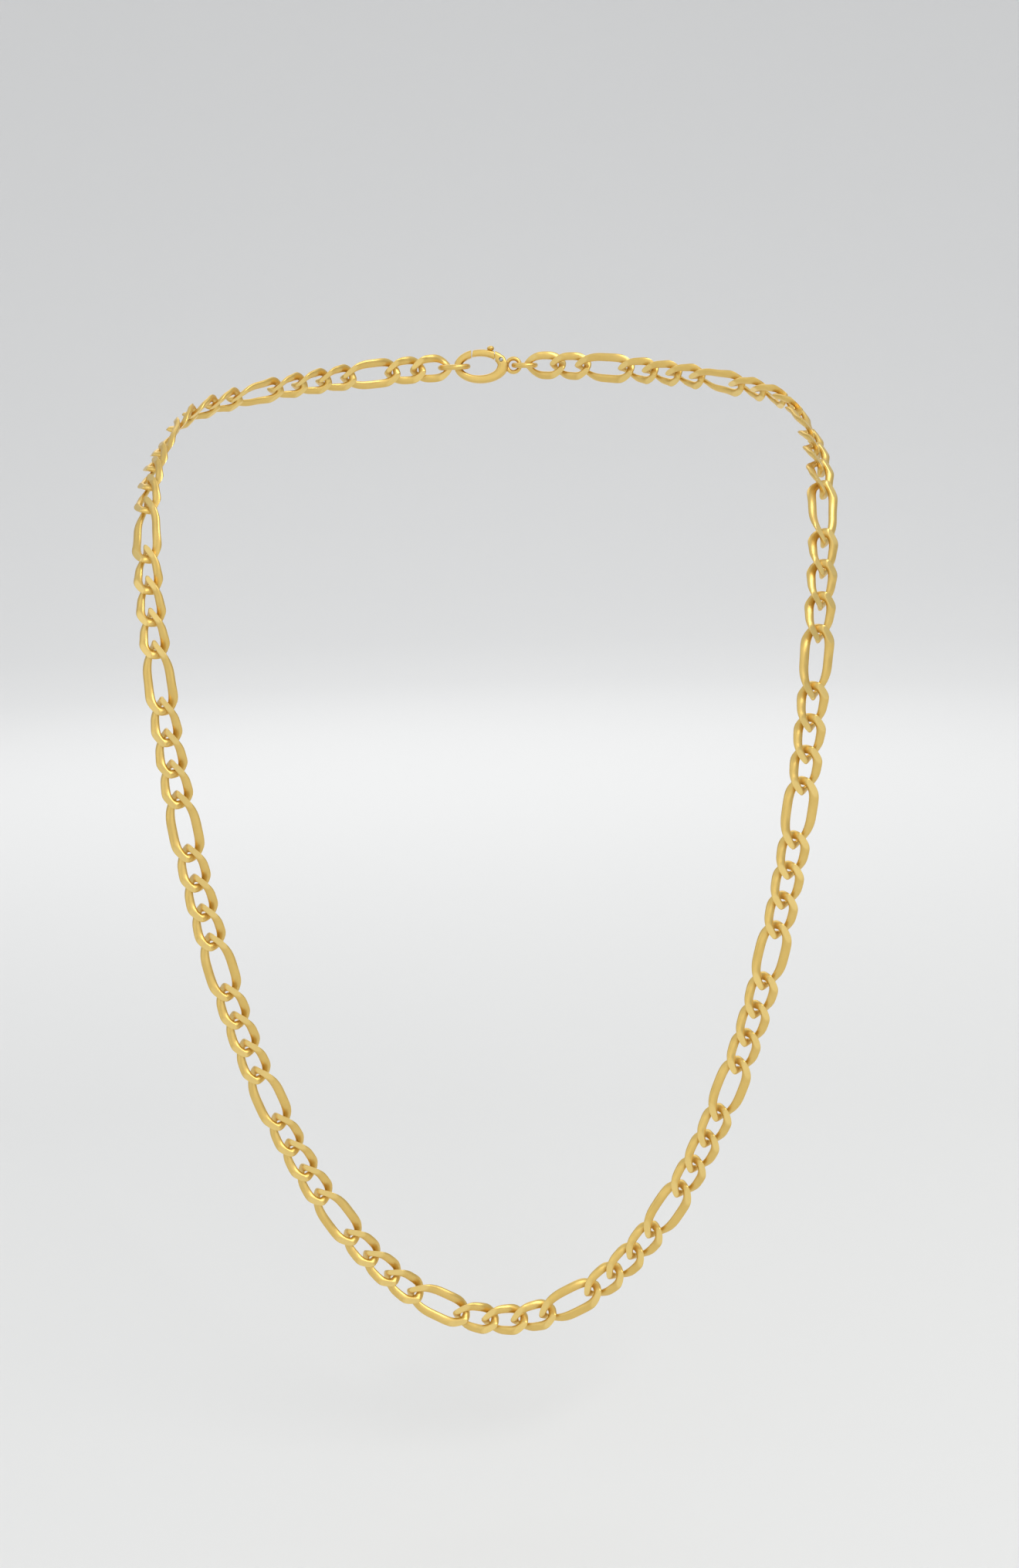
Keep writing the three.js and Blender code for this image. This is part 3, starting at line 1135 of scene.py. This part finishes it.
    def gate(self) -> bpy.types.Object:
        """Makes the gate with its thumb tab, arm and knuckle.

        Returns:
            The piece, in the clasp's own frame.
        """
        x, y = self.pivot
        start, end = self.gate_from + self.gate_gap, self.gate_to - self.gate_gap
        deep = 2 * self.thickness
        low, high = self.knuckle_low, self.knuckle_high
        span = box_outline(start, self.gate_low, end, self.past_claw)
        sweep = oval(x, y, self.gate_reach, self.gate_reach, count=160)
        knuckle = oval(x, y, self.knuckle_radius, self.knuckle_radius, count=48)
        arm_end = start + self.arm_overlap
        arm = [(x, y - self.arm_drop), (arm_end, y + self.arm_low)]
        arm += [(arm_end, y + self.arm_high), (x, y + self.knuckle_radius)]
        return carved(
            "clasp_gate_lever",
            self.loop("bar", self.gate_inset, self.gate_thickness),
            [
                (Cut.KEEP, plate("gate_span", span, -deep, deep)),
                (Cut.KEEP, plate("gate_sweep", sweep, -deep, deep)),
                (Cut.JOIN, self.thumb_tab()),
                (Cut.JOIN, plate("knuckle", knuckle, low, high)),
                (Cut.JOIN, plate("arm", arm, low, high)),
                (Cut.TAKE, self.pin_cut()),
            ],
        )

    def pin(self) -> bpy.types.Object:
        """Makes the pin, with its ends rounded over.

        Returns:
            The piece, in the clasp's own frame.
        """
        low_end = [(-self.pin_length / 2 + inwards, share) for inwards, share in self.pin_tip]
        profile = low_end + [(-height, share) for height, share in reversed(low_end)]
        line = [Vector((*self.pivot, height)) for height, _ in profile]
        radii = [self.pin_radius * share for _, share in profile]
        return plain_piece("clasp_pin_rivet", tube("pin", line, radii, sides=32, up=Vector((1, 0, 0))))

    def spring(self) -> bpy.types.Object:
        """Makes the spring round the pin.

        Returns:
            The piece, in the clasp's own frame.
        """
        x, y = self.pivot
        steps = 72
        line = []
        for i in range(steps + 1):
            turn = 2 * math.pi * self.spring_turns * i / steps
            spot = (x + self.spring_radius * math.cos(turn), y + self.spring_radius * math.sin(turn))
            line.append(Vector((*spot, self.spring_start + self.spring_rise * i / steps)))
        radii = [self.spring_wire / 2] * len(line)
        return plain_piece("clasp_spring_coil", tube("spring", line, radii, sides=12, up=Vector((0, 0, 1))))

    def finish(self, piece: bpy.types.Object, place: Matrix, metal: bpy.types.Material, edge: float) -> None:
        """Puts a piece in place, softens its edges and dresses it.

        Args:
            piece: the piece, still in its own frame.
            place: where it goes, in millimetres.
            metal: its material.
            edge: how far its sharp edges are rounded, in millimetres.
        """
        shift = place.copy()
        shift.translation = place.translation * MM
        piece.data.transform(shift)
        outward(piece.data)
        if edge:
            bevel = piece.modifiers.new("soft_edges", "BEVEL")
            bevel.width, bevel.segments, bevel.limit_method = edge * MM, 2, "ANGLE"
            bevel.angle_limit, bevel.use_clamp_overlap = math.radians(self.bevel_angle), True
            settled(piece)
        piece.data.polygons.foreach_set("use_smooth", [True] * len(piece.data.polygons))
        piece.data.set_sharp_from_angle(angle=math.radians(self.smooth_angle))
        piece.data.materials.clear()
        piece.data.materials.append(metal)

    def ring(self, name: str, size: RingSize, side: Side) -> bpy.types.Object:
        """Makes one of the two rings, in its place.

        Args:
            name: the piece's name.
            size: the ring's sizes.
            side: the end of the chain that it is on.

        Returns:
            The finished piece.
        """
        start = self.reach - size.play
        end = start + size.bore
        place = self.drape.between(start, end) if side is Side.LEFT else self.drape.between(-end, -start)
        piece = plain_piece(name, size.mesh(name))
        self.finish(piece, place, self.gold, 0)
        return piece

    def build(self) -> None:
        """Makes every piece of the clasp."""
        place = self.place()
        for piece, body, slot, node, metal, edge in (
            (self.body(), "clasp", "gold", "clasp_body", self.gold, self.claw_edge),
            (self.gate(), "clasp_gate", "gold", "clasp_gate", self.gold, self.gate_edge),
            (self.pin(), "clasp", "steel", "clasp_pin", self.steel, 0),
            (self.spring(), "clasp", "steel", "clasp_spring", self.steel, 0),
        ):
            self.finish(piece, place, metal, edge)
            hand_over(piece, body, slot, node)
        hand_over(self.ring("clasp_ring_wire", self.jump_ring, Side.LEFT), "clasp_ring", "gold", "clasp_ring")
        hand_over(self.ring("end_ring_wire", self.end_ring, Side.RIGHT), "end_ring", "gold", "end_ring")


@dataclass(frozen=True)
class Lamp:
    """One soft light, in metres and watts, which looks at the necklace unless it is aimed elsewhere."""

    name: str
    at: tuple[float, float, float]
    size: float
    power: float
    tint: tuple[float, float, float] = (1, 1, 1)
    aim: tuple[float, float, float] = (0, 0, -0.09)

    def light(self) -> None:
        """Puts the light in the scene."""
        lamp = bpy.data.lights.new(self.name, "AREA")
        lamp.size, lamp.energy, lamp.color = self.size, self.power, self.tint
        made = bpy.data.objects.new(self.name, lamp)
        bpy.context.scene.collection.objects.link(made)
        made.location = self.at
        made.rotation_mode = "QUATERNION"
        made.rotation_quaternion = (Vector(self.aim) - Vector(self.at)).to_track_quat("-Z", "Y")


@dataclass
class Studio:
    """The pale floor, the soft lights and the camera, in metres but for below and camera_at."""

    below: float = 32
    floor_radius: float = 1.3
    rim_radius: float = 2.2
    rim_steps: int = 12
    floor_sides: int = 96
    floor_paint: tuple[float, float, float] = (0.78, 0.775, 0.765)
    floor_roughness: float = 0.85
    room_tint: tuple[float, float, float] = (0.82, 0.84, 0.87)
    room_glow: float = 0.86
    camera_at: tuple[float, float, float] = (8.86, -296.7, -17.55)
    pitch: float = 0.202
    yaw: float = -0.019
    roll: float = -0.026
    lens: float = 31.59
    sensor: float = 36
    clip_start: float = 0.01
    clip_end: float = 20
    lamps: tuple[Lamp, ...] = (
        Lamp("key", at=(0.55, -0.55, 0.75), size=0.6, power=4.8, tint=(1, 1, 0.95)),
        Lamp("front", at=(0.1, -1.1, 0.2), size=1.1, power=1.8, tint=(1, 1, 0.98)),
        Lamp("fill", at=(-0.8, -0.5, 0.25), size=0.9, power=1.2, tint=(0.96, 0.98, 1)),
        Lamp("back", at=(-0.2, 0.8, 0.7), size=0.8, power=1.5),
        Lamp("wall", at=(0, 0.7, 1.1), size=1.6, power=9, aim=(0, 2.6, 0.3)),
    )

    def floor(self) -> None:
        """Makes the floor, which turns up into a pale surround a long way off."""
        base = CAD_BOX[0].z - self.below * MM
        rings = [(self.floor_radius / 2, 0.0), (self.floor_radius, 0.0)]
        for i in range(1, self.rim_steps + 1):
            turn = math.pi / 2 * i / self.rim_steps
            out, rise = self.rim_radius * math.sin(turn), self.rim_radius * (1 - math.cos(turn))
            rings.append((self.floor_radius + out, rise))
        count = self.floor_sides
        points = [Vector((0, 0, base))]
        for radius, rise in rings:
            for i in range(count):
                turn = 2 * math.pi * i / count
                points.append(Vector((radius * math.cos(turn), radius * math.sin(turn), base + rise)))
        faces: list[tuple[int, ...]] = [(0, 1 + i, 1 + (i + 1) % count) for i in range(count)]
        for ring in range(len(rings) - 1):
            low, high = 1 + ring * count, 1 + (ring + 1) * count
            faces += [
                (low + i, high + i, high + (i + 1) % count, low + (i + 1) % count) for i in range(count)
            ]
        mesh = bpy.data.meshes.new("floor")
        mesh.from_pydata(points, [], faces)
        mesh.polygons.foreach_set("use_smooth", [True] * len(mesh.polygons))
        paint = bpy.data.materials.new("pale_floor")
        paint.use_nodes = True
        shader = paint.node_tree.nodes["Principled BSDF"]
        shader.inputs["Base Color"].default_value = (*self.floor_paint, 1)
        shader.inputs["Roughness"].default_value = self.floor_roughness
        plain_piece("floor", mesh, paint)

    def camera(self) -> None:
        """Adds the camera."""
        level = math.cos(self.pitch)
        ahead = Vector((math.sin(self.yaw) * level, math.cos(self.yaw) * level, -math.sin(self.pitch)))
        right = Vector((math.cos(self.yaw), -math.sin(self.yaw), 0))
        up = right.cross(ahead)
        turned_right = right * math.cos(self.roll) + up * math.sin(self.roll)
        turned_up = turned_right.cross(ahead)
        made = bpy.data.objects.new("camera", bpy.data.cameras.new("camera"))
        bpy.context.scene.collection.objects.link(made)
        made.matrix_world = Matrix((turned_right, turned_up, -ahead)).transposed().to_4x4()
        made.location = Vector(self.camera_at) * MM
        made.data.lens, made.data.sensor_width, made.data.sensor_fit = self.lens, self.sensor, "AUTO"
        made.data.clip_start, made.data.clip_end = self.clip_start, self.clip_end
        bpy.context.scene.camera = made

    def build(self) -> None:
        """Sets up the whole studio."""
        self.camera()
        self.floor()
        for lamp in self.lamps:
            lamp.light()
        world = bpy.data.worlds.new("room")
        world.use_nodes = True
        room = world.node_tree.nodes["Background"]
        room.inputs["Color"].default_value = (*self.room_tint, 1)
        room.inputs["Strength"].default_value = self.room_glow
        bpy.context.scene.world = world
        bpy.context.scene.view_settings.view_transform = "Standard"


def main() -> None:
    """Builds the necklace and the studio."""
    logging.basicConfig(level=logging.INFO, format="%(message)s")
    Studio().build()
    metals = MetalShop()
    gold, steel = metals.metal(GOLD), metals.metal(STEEL)
    drape = Drape()
    chain = Chain(drape, gold)
    chain.build()
    Clasp(drape, gold, steel, chain.spans()[chain.last_link][1]).build()


if __name__ == "__main__":
    main()
